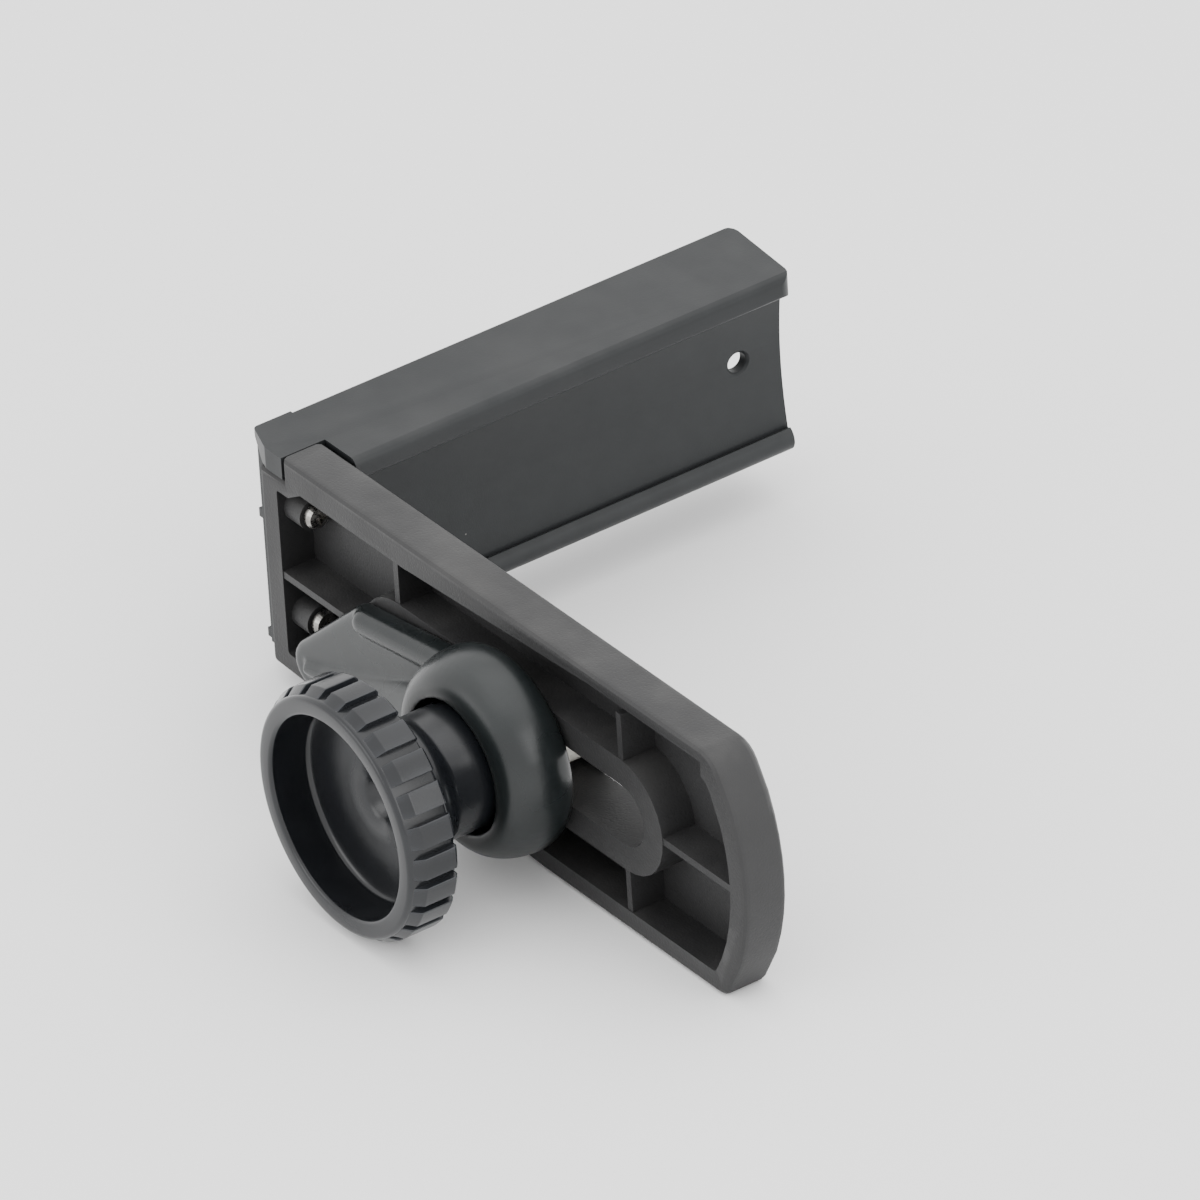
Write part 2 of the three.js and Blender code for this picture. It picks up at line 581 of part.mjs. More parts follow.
function clampShoe() {
  const socket = SHOE_MOUTH_RADIUS - SHOE_LIP;
  const height = SHOE_HEIGHT - SHOE_BASE;
  const steps = 8;
  const crown = Array.from({ length: steps + 1 }, (_, i) => {
    const t = (i / steps) * (Math.PI / 2);
    return [
      SHOE_MOUTH_RADIUS + (SHOE_RADIUS - SHOE_MOUTH_RADIUS) * Math.sin(t),
      SHOE_BACK - SHOE_BASE - height * Math.cos(t),
    ];
  });
  const backCrown = crown.slice(1).map((_, i) => {
    const t = ((i + 1) / steps) * (Math.PI / 2);
    return [
      SHOE_BACK_RADIUS + (SHOE_RADIUS - SHOE_BACK_RADIUS) * Math.cos(t),
      SHOE_BACK - SHOE_BASE * (1 - Math.sin(t)),
    ];
  });
  const bell = turned([[0, SHOE_MOUTH], [socket, SHOE_MOUTH], ...crown, ...backCrown, [0, SHOE_BACK]], 64);
  const plate = softSlab(tongueCorners(), SHOE_BACK - TONGUE_THICKNESS, SHOE_BACK, 1.5, 0.4);
  return bell
    .add(plate)
    .add(tongueRidge())
    .add(tongueRim(1))
    .add(tongueRim(-1))
    .subtract(bar(socket, SHOE_MOUTH - OVERCUT, SHOE_SEAT, 48))
    .subtract(bar(BOLT_DIAMETER / 2 + BOLT_CLEARANCE, SHOE_SEAT - OVERCUT, SHOE_BACK + OVERCUT));
}

// ---------------------------------------------------------------- knob and its insert
function handKnob() {
  const root = KNOB_RADIUS - TOOTH_HEIGHT;
  const floor = KNOB_FACE + CUP_DEPTH;
  const centre = floor + CUP_DISH;
  const shoulderEnd = KNOB_BACK + SHOULDER_LENGTH;
  let body = turned([
    [0, centre + PIT_DEPTH],
    [PIT_RADIUS - 1, centre + PIT_DEPTH],
    [PIT_RADIUS, centre + 0.6],
    [PIT_RADIUS + 1.2, centre],
    [(PIT_RADIUS + CUP_RADIUS) / 2, floor + CUP_DISH * 0.75],
    [CUP_RADIUS - 1.2, floor],
    [CUP_RADIUS, floor - 1.2],
    [CUP_RADIUS, KNOB_FACE + 1],
    [CUP_RADIUS + 0.8, KNOB_FACE],
    [root - 1, KNOB_FACE],
    [root, KNOB_FACE + 1],
    [root, KNOB_BACK - 1],
    [root - 1, KNOB_BACK],
    [SHOULDER_RADIUS + 1.6, KNOB_BACK],
    [SHOULDER_RADIUS, KNOB_BACK + 1.6],
    [SHOULDER_RADIUS - 0.3, shoulderEnd],
    [NECK_RADIUS + 0.4, shoulderEnd + 2],
    [NECK_RADIUS, shoulderEnd + 4],
    [NECK_RADIUS, NECK_END - 0.6],
    [NECK_RADIUS - 0.6, NECK_END],
    [0, NECK_END],
  ], 72);
  for (let i = 0; i < KNOB_TEETH; i++) body = body.add(gripTooth((i * 360) / KNOB_TEETH));
  const radius = INSERT_ACROSS_FLATS / Math.sqrt(3) + GAP;
  const pocket = new THREE.CylinderGeometry(radius, radius, INSERT_LENGTH + OVERCUT, 6);
  return body.subtract(solid(pocket.translate(0, NECK_END + (OVERCUT - INSERT_LENGTH) / 2, 0)));
}

// One raised grip tooth with a sloped front end, centred on an angle in degrees.
function gripTooth(angle) {
  const half = (180 / KNOB_TEETH) * TOOTH_SHARE;
  const inner = KNOB_RADIUS - TOOTH_HEIGHT - OVERCUT;
  const outline = (outer) => [
    ...arc(0, 0, outer, angle - half, angle + half, 3),
    ...arc(0, 0, inner, angle + half, angle - half, 1),
  ];
  const [root, tip] = [outline(KNOB_RADIUS - TOOTH_HEIGHT), outline(KNOB_RADIUS)];
  return stacked(
    [root, tip, tip, outline(KNOB_RADIUS - BEVEL)],
    [KNOB_FACE + 1, KNOB_FACE + 1 + TOOTH_BEVEL, KNOB_BACK - 1, KNOB_BACK - GAP],
  );
}

function knobInsert() {
  const radius = INSERT_ACROSS_FLATS / Math.sqrt(3);
  const length = INSERT_LENGTH - GAP;
  const hexagon = new THREE.CylinderGeometry(radius, radius, length, 6);
  const body = solid(hexagon.translate(0, NECK_END - length / 2, 0));
  return body.subtract(bar(BOLT_DIAMETER / 2 + GAP, NECK_END - length - OVERCUT, NECK_END + OVERCUT));
}

// ---------------------------------------------------------------- bolt, slot block and washers
// A flat-sided bar along Y with the bolt neck's section, grown all round by a clearance.
function neckBar(clearance, y0, y1) {
  const h = BOLT_DIAMETER / 2 + clearance;
  const w = h + BOLT_NECK_SIDE;
  return box(-w, w, y0, y1, -h, h);
}

function clampBolt() {
  const [shank, head] = [BOLT_DIAMETER / 2, BOLT_HEAD_DIAMETER / 2];
  const far = HEAD_NEAR + BOLT_HEAD_HEIGHT;
  const tip = NECK_END - INSERT_LENGTH + BOLT_INSET;
  return turned([[0, tip], [shank - BEVEL, tip], [shank, tip + BEVEL], [shank, HEAD_NEAR],
    [head - BEVEL, HEAD_NEAR], [head, HEAD_NEAR + BEVEL], [head * 0.85, far - 1.4],
    [head * 0.5, far - 0.3], [0, far]], 36)
    .add(neckBar(0, NECK_START, HEAD_NEAR + BEVEL));
}

function slotBlock() {
  const straight = BLOCK_STRAIGHT / 2;
  const far = RING_FACE - GAP;
  return slab(obround(-straight, straight, 0, SLOT_RADIUS - GAP, 10), GAP, far)
    .subtract(bar(BOLT_DIAMETER / 2 + GAP, GAP - OVERCUT, far + OVERCUT))
    .subtract(neckBar(GAP, NECK_START - GAP, far + OVERCUT));
}

function backWasher() {
  const far = WASHER_NEAR + WASHER_THICKNESS;
  return bar(WASHER_DIAMETER / 2, WASHER_NEAR, far, 40)
    .subtract(neckBar(GAP, WASHER_NEAR - OVERCUT, far + OVERCUT));
}

function thrustWasher() {
  return bar(THRUST_DIAMETER / 2, THRUST_NEAR, THRUST_FAR, 40)
    .subtract(bar(BOLT_DIAMETER / 2 + BOLT_CLEARANCE, THRUST_NEAR - OVERCUT, THRUST_FAR + OVERCUT));
}

// ---------------------------------------------------------------- assembly
const CHARCOAL = 0x3b3d3f;
const RAIL_GREY = 0x303335;
const SHOE_BLACK = 0x2a2d30;
const KNOB_BLACK = 0x222528;
const STEEL = 0xa8abad;
const BRASS = 0xb08d4a;
const NYLON = 0xd8d6cc;

function named(name, body, colour, roughness, metalness = 0) {
  const finish = new THREE.MeshStandardMaterial({ color: colour, roughness, metalness });
  const mesh = new THREE.Mesh(geometryOf(body), finish);
  mesh.name = name;
  return mesh;
}

const clamp = new THREE.Group();
const shoe = named("clamp_shoe", clampShoe(), SHOE_BLACK, 0.4);
shoe.rotation.y = -THREE.MathUtils.degToRad(SHOE_TILT);
clamp.add(
  named("slot_block", slotBlock(), NYLON, 0.5),
  named("clamp_bolt", clampBolt(), STEEL, 0.35, 1),
  named("back_washer", backWasher(), STEEL, 0.35, 1),
  named("thrust_washer", thrustWasher(), NYLON, 0.4),
  shoe,
  named("hand_knob", handKnob(), KNOB_BLACK, 0.35),
  named("knob_insert", knobInsert(), BRASS, 0.35, 1),
);
clamp.position.set(CLAMP_X, 0, SLOT_Z);

const rodHolder = new THREE.Group();
rodHolder.add(
  named("slotted_arm", slottedArm(), CHARCOAL, 0.6),
  named("cradle_rail", cradleRail(), RAIL_GREY, 0.45),
  named("arm_screw_upper", armScrew(SCREW_HEIGHTS[0]), STEEL, 0.3, 1),
  named("arm_screw_lower", armScrew(SCREW_HEIGHTS[1]), STEEL, 0.3, 1),
  clamp,
);
const bounds = new THREE.Box3().setFromObject(rodHolder, true);
const middle = bounds.getCenter(new THREE.Vector3());
rodHolder.position.set(-middle.x, -middle.y, -bounds.min.z);

export default rodHolder;
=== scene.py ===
import bmesh
import bpy
import math
from mathutils import Matrix, Vector


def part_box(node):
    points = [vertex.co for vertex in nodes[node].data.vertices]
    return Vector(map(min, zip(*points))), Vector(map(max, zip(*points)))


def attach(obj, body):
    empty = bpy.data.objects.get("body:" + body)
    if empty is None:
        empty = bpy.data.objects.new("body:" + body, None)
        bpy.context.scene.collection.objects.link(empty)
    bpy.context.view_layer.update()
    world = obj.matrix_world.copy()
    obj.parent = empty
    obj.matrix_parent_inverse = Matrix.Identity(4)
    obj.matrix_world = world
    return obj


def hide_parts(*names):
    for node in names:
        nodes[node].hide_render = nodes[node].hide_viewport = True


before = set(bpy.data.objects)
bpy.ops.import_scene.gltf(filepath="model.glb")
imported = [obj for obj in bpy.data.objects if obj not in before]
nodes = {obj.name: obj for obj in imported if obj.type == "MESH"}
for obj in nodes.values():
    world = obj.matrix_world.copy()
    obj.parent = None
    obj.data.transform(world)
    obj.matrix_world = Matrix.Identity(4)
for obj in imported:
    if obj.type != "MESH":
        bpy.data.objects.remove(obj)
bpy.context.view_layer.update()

MM = 0.001
collection = bpy.context.scene.collection

# ---------------------------------------------------------------- camera
LOOK_AT = Vector((-0.0228, 0.00435, 0.027))
AZIMUTH, ELEVATION, ROLL = map(math.radians, (56.0, 32.3, 3.7))
DISTANCE = 4.0

away = Vector((math.sin(AZIMUTH) * math.cos(ELEVATION), -math.cos(AZIMUTH) * math.cos(ELEVATION),
               math.sin(ELEVATION)))
camera = bpy.data.objects.new("camera", bpy.data.cameras.new("camera"))
camera.data.lens = 612.4
camera.data.sensor_width = 36
camera.data.clip_start = 0.1
camera.data.clip_end = 20
camera.location = LOOK_AT + away * DISTANCE
camera.rotation_euler = ((-away).to_track_quat("-Z", "Y").to_matrix()
                         @ Matrix.Rotation(-ROLL, 3, "Z")).to_euler()
collection.objects.link(camera)
bpy.context.scene.camera = camera


# ---------------------------------------------------------------- shared effects
def new_group(name, inputs, outputs):
    group = bpy.data.node_groups.new(name, "ShaderNodeTree")
    for label, kind, value in inputs:
        socket = group.interface.new_socket(label, in_out="INPUT", socket_type=kind)
        if value is not None:
            socket.default_value = value
    for label, kind in outputs:
        group.interface.new_socket(label, in_out="OUTPUT", socket_type=kind)
    return group, group.nodes.new("NodeGroupInput"), group.nodes.new("NodeGroupOutput")


def add_node(tree, kind, links=None, **settings):
    node = tree.nodes.new(kind)
    for key, value in settings.items():
        setattr(node, key, value)
    for key, value in (links or {}).items():
        socket = node.inputs[key]
        if isinstance(value, bpy.types.NodeSocket):
            tree.links.new(value, socket)
        else:
            socket.default_value = value
    return node


def ramp(tree, value, low, high, to_low=0.0, to_high=1.0):
    return add_node(tree, "ShaderNodeMapRange", {0: value, 1: low, 2: high, 3: to_low, 4: to_high},
                    interpolation_type="SMOOTHSTEP").outputs[0]


def maths(tree, operation, a, b, clamped=False):
    return add_node(tree, "ShaderNodeMath", {0: a, 1: b}, operation=operation,
                    use_clamp=clamped).outputs[0]


def moulded_grain():
    """The fine etched texture of a moulding, its slow changes of shade and its flow marks."""
    group, given, out = new_group("moulded grain", [
        ("Vector", "NodeSocketVector", None), ("Grain Scale", "NodeSocketFloat", 1500.0),
        ("Flow Scale", "NodeSocketFloat", 22.0)],
        [("Height", "NodeSocketFloat"), ("Shade", "NodeSocketFloat"), ("Gloss", "NodeSocketFloat")])
    fine = add_node(group, "ShaderNodeTexNoise", {
        "Vector": given.outputs["Vector"], "Scale": given.outputs["Grain Scale"], "Detail": 3.0,
        "Roughness": 0.6})
    pits = add_node(group, "ShaderNodeTexVoronoi", {
        "Vector": given.outputs["Vector"], "Scale": given.outputs["Grain Scale"]})
    height = maths(group, "ADD", maths(group, "MULTIPLY", fine.outputs[0], 0.65),
                   maths(group, "MULTIPLY", ramp(group, pits.outputs["Distance"], 0.1, 0.6), 0.35))
    flow = add_node(group, "ShaderNodeTexNoise", {
        "Vector": given.outputs["Vector"], "Scale": given.outputs["Flow Scale"], "Detail": 4.0,
        "Distortion": 1.2})
    mottle = add_node(group, "ShaderNodeTexNoise", {
        "Vector": given.outputs["Vector"],
        "Scale": maths(group, "MULTIPLY", given.outputs["Flow Scale"], 9.0), "Detail": 3.0})
    group.links.new(height, out.inputs["Height"])
    group.links.new(maths(group, "ADD", maths(group, "MULTIPLY", flow.outputs[0], 0.6),
                          maths(group, "MULTIPLY", mottle.outputs[0], 0.4)), out.inputs["Shade"])
    group.links.new(ramp(group, flow.outputs[0], 0.3, 0.7), out.inputs["Gloss"])
    return group


def edge_wear():
    """Where handling has polished the edges, broken up so that no edge is evenly worn."""
    group, given, out = new_group("edge wear", [
        ("Vector", "NodeSocketVector", None), ("Amount", "NodeSocketFloat", 1.0),
        ("Breakup Scale", "NodeSocketFloat", 160.0)], [("Mask", "NodeSocketFloat")])
    bend = add_node(group, "ShaderNodeNewGeometry").outputs["Pointiness"]
    edge = ramp(group, bend, 0.515, 0.6)
    breakup = add_node(group, "ShaderNodeTexNoise", {
        "Vector": given.outputs["Vector"], "Scale": given.outputs["Breakup Scale"], "Detail": 4.0})
    patchy = ramp(group, breakup.outputs[0], 0.3, 0.65, 0.45, 1.0)
    group.links.new(maths(group, "MULTIPLY", maths(group, "MULTIPLY", edge, patchy),
                          given.outputs["Amount"]), out.inputs["Mask"])
    return group


def settled_dust():
    """Stray specks, and a thin film on what faces up."""
    group, given, out = new_group("settled dust", [
        ("Vector", "NodeSocketVector", None), ("Film", "NodeSocketFloat", 0.1),
        ("Specks", "NodeSocketFloat", 0.3)], [("Mask", "NodeSocketFloat")])
    normal = add_node(group, "ShaderNodeNewGeometry").outputs["Normal"]
    up = add_node(group, "ShaderNodeSeparateXYZ", {0: normal}).outputs[2]
    cloud = add_node(group, "ShaderNodeTexNoise", {
        "Vector": given.outputs["Vector"], "Scale": 70.0, "Detail": 5.0})
    film = maths(group, "MULTIPLY", maths(group, "MULTIPLY", ramp(group, up, 0.3, 1.0),
                 ramp(group, cloud.outputs[0], 0.35, 0.75)), given.outputs["Film"])
    cells = add_node(group, "ShaderNodeTexVoronoi", {"Vector": given.outputs["Vector"], "Scale": 95.0})
    tone = add_node(group, "ShaderNodeSeparateColor", {0: cells.outputs["Color"]}).outputs[0]
    speck = maths(group, "MULTIPLY", ramp(group, cells.outputs["Distance"], 0.028, 0.012),
                  maths(group, "GREATER_THAN", tone, 0.82))
    group.links.new(maths(group, "ADD", film, maths(group, "MULTIPLY", speck,
                          given.outputs["Specks"]), clamped=True), out.inputs["Mask"])
    return group


GRAIN, WEAR, DUST = moulded_grain(), edge_wear(), settled_dust()


# ---------------------------------------------------------------- finishes
def blend_colour(tree, factor, a, b):
    node = add_node(tree, "ShaderNodeMix", data_type="RGBA")
    for socket, value in ((node.inputs[0], factor), (node.inputs[6], a), (node.inputs[7], b)):
        if isinstance(value, bpy.types.NodeSocket):
            tree.links.new(value, socket)
        else:
            socket.default_value = value
    return node.outputs[2]


def placed(tree, group, point, **values):
    node = add_node(tree, "ShaderNodeGroup", node_tree=group)
    tree.links.new(point, node.inputs["Vector"])
    for label, value in values.items():
        node.inputs[label.replace("_", " ")].default_value = value
    return node.outputs


def moulded_plastic(name, dark, light, worn, rough, grain, grain_depth, wear=0.5, film=0.1,
                    specks=0.2, coat=0.0, specular=0.5):
    material = bpy.data.materials.new(name)
    material.use_nodes = True
    tree = material.node_tree
    shader = tree.nodes["Principled BSDF"]
    point = add_node(tree, "ShaderNodeTexCoord").outputs["Object"]
    texture = placed(tree, GRAIN, point, Grain_Scale=grain, Flow_Scale=22.0)
    edges = placed(tree, WEAR, point, Amount=wear)["Mask"]
    dust = placed(tree, DUST, point, Film=film, Specks=specks)["Mask"]
    shade = ramp(tree, texture["Shade"], 0.3, 0.7)
    colour = blend_colour(tree, shade, (*dark, 1), (*light, 1))
    colour = blend_colour(tree, edges, colour, (*worn, 1))
    colour = blend_colour(tree, dust, colour, (0.42, 0.41, 0.39, 1))
    tree.links.new(colour, shader.inputs["Base Color"])
    gloss = ramp(tree, texture["Gloss"], 0.0, 1.0, rough - 0.05, rough + 0.05)
    gloss = maths(tree, "SUBTRACT", gloss, maths(tree, "MULTIPLY", edges, 0.1))
    gloss = maths(tree, "ADD", gloss, maths(tree, "MULTIPLY", dust, 0.5), clamped=True)
    tree.links.new(gloss, shader.inputs["Roughness"])
    shader.inputs["Coat Weight"].default_value = coat
    shader.inputs["Coat Roughness"].default_value = 0.22
    shader.inputs["Specular IOR Level"].default_value = specular
    bump = add_node(tree, "ShaderNodeBump", {
        "Strength": 1.0, "Distance": grain_depth, "Height": texture["Height"]})
    tree.links.new(bump.outputs[0], shader.inputs["Normal"])
    return material


def bare_metal(name, dark, light, rough, stretch=(1, 1, 1), depth=4e-6):
    material = bpy.data.materials.new(name)
    material.use_nodes = True
    tree = material.node_tree
    shader = tree.nodes["Principled BSDF"]
    point = add_node(tree, "ShaderNodeTexCoord").outputs["Object"]
    lines = add_node(tree, "ShaderNodeMapping", {"Vector": point, "Scale": stretch}).outputs[0]
    brushed = add_node(tree, "ShaderNodeTexNoise", {"Vector": lines, "Scale": 900.0, "Detail": 4.0})
    stain = add_node(tree, "ShaderNodeTexNoise", {"Vector": point, "Scale": 260.0, "Detail": 4.0})
    shade = ramp(tree, stain.outputs[0], 0.3, 0.75)
    tree.links.new(blend_colour(tree, shade, (*light, 1), (*dark, 1)), shader.inputs["Base Color"])
    tree.links.new(ramp(tree, brushed.outputs[0], 0.2, 0.8, rough - 0.07, rough + 0.1),
                   shader.inputs["Roughness"])
    shader.inputs["Metallic"].default_value = 1.0
    bump = add_node(tree, "ShaderNodeBump", {
        "Strength": 1.0, "Distance": depth, "Height": brushed.outputs[0]})
    tree.links.new(bump.outputs[0], shader.inputs["Normal"])
    return material


arm_plastic = moulded_plastic("etched charcoal plastic", (0.0165, 0.0165, 0.0170), (0.0205, 0.0205, 0.0210),
                              (0.062, 0.062, 0.062), 0.55, 1500, 6.0e-5, wear=0.5, film=0.04, specks=0.2,
                              specular=0.34)
rail_plastic = moulded_plastic("smooth charcoal rail plastic", (0.0100, 0.0112, 0.0120),
                               (0.0128, 0.0143, 0.0152), (0.040, 0.042, 0.043), 0.42, 2400, 1.2e-5,
                               wear=0.4, film=0.012, specks=0.4, specular=0.26)
shoe_plastic = moulded_plastic("satin black shoe plastic", (0.0075, 0.0096, 0.0100), (0.0105, 0.0132, 0.0137),
                               (0.045, 0.052, 0.053), 0.30, 2600, 1.0e-5, wear=0.45, film=0.012,
                               specks=0.2, specular=0.4)
knob_plastic = moulded_plastic("glossy black knob plastic", (0.0050, 0.0056, 0.0068),
                               (0.0072, 0.0082, 0.0100), (0.045, 0.049, 0.056), 0.24, 2600, 9.0e-6,
                               wear=0.8, film=0.01, specks=0.2, specular=0.42)
screw_steel = bare_metal("bright screw steel", (0.16, 0.155, 0.145), (0.42, 0.41, 0.39), 0.27)
bolt_steel = bare_metal("brushed bolt steel", (0.36, 0.36, 0.35), (0.58, 0.58, 0.57), 0.33, (1, 0.06, 1))
insert_brass = bare_metal("turned brass", (0.45, 0.31, 0.12), (0.76, 0.56, 0.26), 0.3, (1, 0.06, 1))
slide_nylon = moulded_plastic("natural nylon", (0.62, 0.60, 0.54), (0.72, 0.70, 0.65),
                              (0.80, 0.79, 0.75), 0.42, 1800, 1.0e-5, wear=0.3, film=0.05, specks=0.3)


# ---------------------------------------------------------------- refined mouldings
def finish_piece(piece, material, body, slot_name, *stands_for):
    piece.data.materials.clear()
    piece.data.materials.append(material)
    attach(piece, body)
    if stands_for:
        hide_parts(*stands_for)


def merged_copy(node, name, flatten=True):
    """A copy of a CAD node with its loose triangles joined and its flat faces whole."""
    mesh = nodes[node].data.copy()
    mesh.name = name
    bm = bmesh.new()
    bm.from_mesh(mesh)
    bmesh.ops.remove_doubles(bm, verts=bm.verts, dist=2e-6)
    if flatten:
        bmesh.ops.dissolve_limit(bm, angle_limit=math.radians(0.4), use_dissolve_boundaries=False,
                                 verts=bm.verts, edges=bm.edges)
    bm.to_mesh(mesh)
    bm.free()
    mesh.materials.clear()
    piece = bpy.data.objects.new(name, mesh)
    collection.objects.link(piece)
    return piece


def plain_mesh(piece):
    """What the modifiers make of a piece, kept as its own mesh."""
    bpy.context.view_layer.update()
    made = bpy.data.meshes.new_from_object(
        piece.evaluated_get(bpy.context.evaluated_depsgraph_get()))
    piece.modifiers.clear()
    piece.data = made


def softened(piece, width, angle=28, segments=2):
    """Bevels sharp edges, but only as wide as the shortest edges allow, and shades each face evenly."""
    bevel = piece.modifiers.new("broken edges", "BEVEL")
    bevel.width = width
    bevel.segments = segments
    bevel.limit_method = "ANGLE"
    bevel.angle_limit = math.radians(angle)
    bevel.use_clamp_overlap = True
    bevel.miter_outer = "MITER_ARC"
    bevel.harden_normals = False
    plain_mesh(piece)
    piece.data.shade_smooth()
    weighted = piece.modifiers.new("even shading", "WEIGHTED_NORMAL")
    weighted.keep_sharp = True
    weighted.weight = 60
    plain_mesh(piece)


ARM_EDGE = 0.35 * MM
RAIL_EDGE = 0.4 * MM

arm = merged_copy("slotted_arm", "arm_moulding")
softened(arm, ARM_EDGE)
finish_piece(arm, arm_plastic, "bracket", "arm_plastic", "slotted_arm")

rail = merged_copy("cradle_rail", "rail_moulding")
softened(rail, RAIL_EDGE)
finish_piece(rail, rail_plastic, "bracket", "rail_plastic", "cradle_rail")


# ---------------------------------------------------------------- clamp shoe
def rounded_over(piece, voxel, rounds):
    remesh = piece.modifiers.new("even skin", "REMESH")
    remesh.mode = "VOXEL"
    remesh.voxel_size = voxel
    remesh.use_smooth_shade = True
    smooth = piece.modifiers.new("run edges", "SMOOTH")
    smooth.factor = 0.5
    smooth.iterations = rounds
    plain_mesh(piece)
    piece.data.shade_smooth()


SHOE_SKIN_SIZE = 0.5 * MM
SHOE_SMOOTHING = 8

shoe = merged_copy("clamp_shoe", "shoe_moulding", flatten=False)
rounded_over(shoe, SHOE_SKIN_SIZE, SHOE_SMOOTHING)
finish_piece(shoe, shoe_plastic, "shoe", "shoe_plastic", "clamp_shoe")


# ---------------------------------------------------------------- hand knob
knob_low, knob_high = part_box("hand_knob")
KNOB_AXIS = Vector(((knob_low.x + knob_high.x) / 2, 0, (knob_low.z + knob_high.z) / 2))
KNOB_FACE = knob_low.y
KNOB_RADIUS = (knob_high.x - knob_low.x) / 2
NECK_END = knob_high.y
KNOB_SEGMENTS = 144
TEETH = 24
TOOTH_HEIGHT = 1.4 * MM
KNOB_DEPTH = 11.2 * MM
KNOB_BACK = KNOB_FACE + KNOB_DEPTH

# The knob's section, in millimetres: radii from its axis and depths from its face.
CUP_RADIUS, CUP_FLOOR, CUP_FLOOR_ROUND = 21.2, 9.2, 1.4
DISH_WIDTH, DISH_DEPTH, DISH_STEPS = 13.6, 1.2, 8
MOUTH_ROUND, RIM_ROUND = 0.9, 1.1
SHOULDER_RADIUS, SHOULDER_ROUND = 15.6, 3.0
WAIST_DEPTH, WAIST_RADIUS = 16.6, 15.35
NECK_RADIUS, NECK_START, NECK_MIDDLE, NECK_ROUND = 13.0, 21.2, 25.0, 0.6
BORE_RADIUS, BORE_DEPTH = 7.9, 4.0
PIT = [(0.0, 13.4), (2.2, 13.3), (3.6, 12.6), (4.5, 11.5), (5.2, 10.8)]


def arc_points(centre, radius, start, end, steps):
    return [(centre[0] + radius * math.cos(math.radians(start + (end - start) * k / steps)),
             centre[1] + radius * math.sin(math.radians(start + (end - start) * k / steps)))
            for k in range(steps + 1)]


def half_wave(step, steps):
    """Falls smoothly from 1 to 0."""
    return (1 + math.cos(math.pi * step / steps)) / 2


def knob_profile():
    """Radius and depth from the knob's face, in millimetres, from the pit round to the bore's bottom."""
    root = (KNOB_RADIUS - TOOTH_HEIGHT) / MM
    length = (NECK_END - KNOB_FACE) / MM
    back = KNOB_DEPTH / MM
    floor_edge = CUP_RADIUS - CUP_FLOOR_ROUND
    dish = [(floor_edge - DISH_WIDTH * k / DISH_STEPS,
             CUP_FLOOR + DISH_DEPTH * (1 - half_wave(k, DISH_STEPS))) for k in range(DISH_STEPS + 1)]
    cup_wall = (arc_points((floor_edge, CUP_FLOOR - CUP_FLOOR_ROUND), CUP_FLOOR_ROUND, 90, 0, 5)[1:]
                + [(CUP_RADIUS, 1.0)])
    rim = (arc_points((CUP_RADIUS + MOUTH_ROUND, MOUTH_ROUND), MOUTH_ROUND, 180, 270, 4)
           + arc_points((root - RIM_ROUND, RIM_ROUND), RIM_ROUND, -90, 0, 5)
           + arc_points((root - RIM_ROUND, back - RIM_ROUND), RIM_ROUND, 0, 90, 5))
    shoulder_edge = SHOULDER_RADIUS + SHOULDER_ROUND
    shoulder = [(shoulder_edge, back)] + arc_points((shoulder_edge, back + SHOULDER_ROUND),
                                                    SHOULDER_ROUND, 270, 180, 10)[1:]
    shoulder_end = back + SHOULDER_ROUND
    taper = [(SHOULDER_RADIUS + (WAIST_RADIUS - SHOULDER_RADIUS) * k / 4,
              shoulder_end + (WAIST_DEPTH - shoulder_end) * k / 4) for k in range(1, 5)]
    waist = [(NECK_RADIUS + (WAIST_RADIUS - NECK_RADIUS) * half_wave(k, 10),
              WAIST_DEPTH + (NECK_START - WAIST_DEPTH) * k / 10) for k in range(1, 11)]
    neck = [(NECK_RADIUS, NECK_MIDDLE), (NECK_RADIUS, length - NECK_ROUND),
            (NECK_RADIUS - NECK_ROUND, length)]
    bore = [(BORE_RADIUS, length), (BORE_RADIUS, length - BORE_DEPTH)]
    return PIT + list(reversed(dish))[1:] + cup_wall + rim + shoulder + taper + waist + neck + bore


def turned_mesh(name, profile, segments):
    bm = bmesh.new()
    rings = []
    for radius, depth in profile:
        y = KNOB_FACE + depth * MM
        if radius == 0:
            rings.append([bm.verts.new((KNOB_AXIS.x, y, KNOB_AXIS.z))])
            continue
        rings.append([bm.verts.new((KNOB_AXIS.x + radius * MM * math.cos(2 * math.pi * i / segments), y,
                                    KNOB_AXIS.z + radius * MM * math.sin(2 * math.pi * i / segments)))
                      for i in range(segments)])
    for inner, outer in zip(rings, rings[1:]):
        for i in range(segments):
            j = (i + 1) % segments
            if len(inner) == 1:
                bm.faces.new((inner[0], outer[i], outer[j]))
            else:
                bm.faces.new((inner[i], outer[i], outer[j], inner[j]))
    bm.faces.new(list(reversed(rings[-1])))
    bmesh.ops.recalc_face_normals(bm, faces=bm.faces)
    mesh = bpy.data.meshes.new(name)
    bm.to_mesh(mesh)
    bm.free()
    return mesh


TOOTH_SHARE = 0.7
TOOTH_SINK = 1.2 * MM
TOOTH_EDGE = 0.22 * MM
SHARP_ANGLE = 0.3


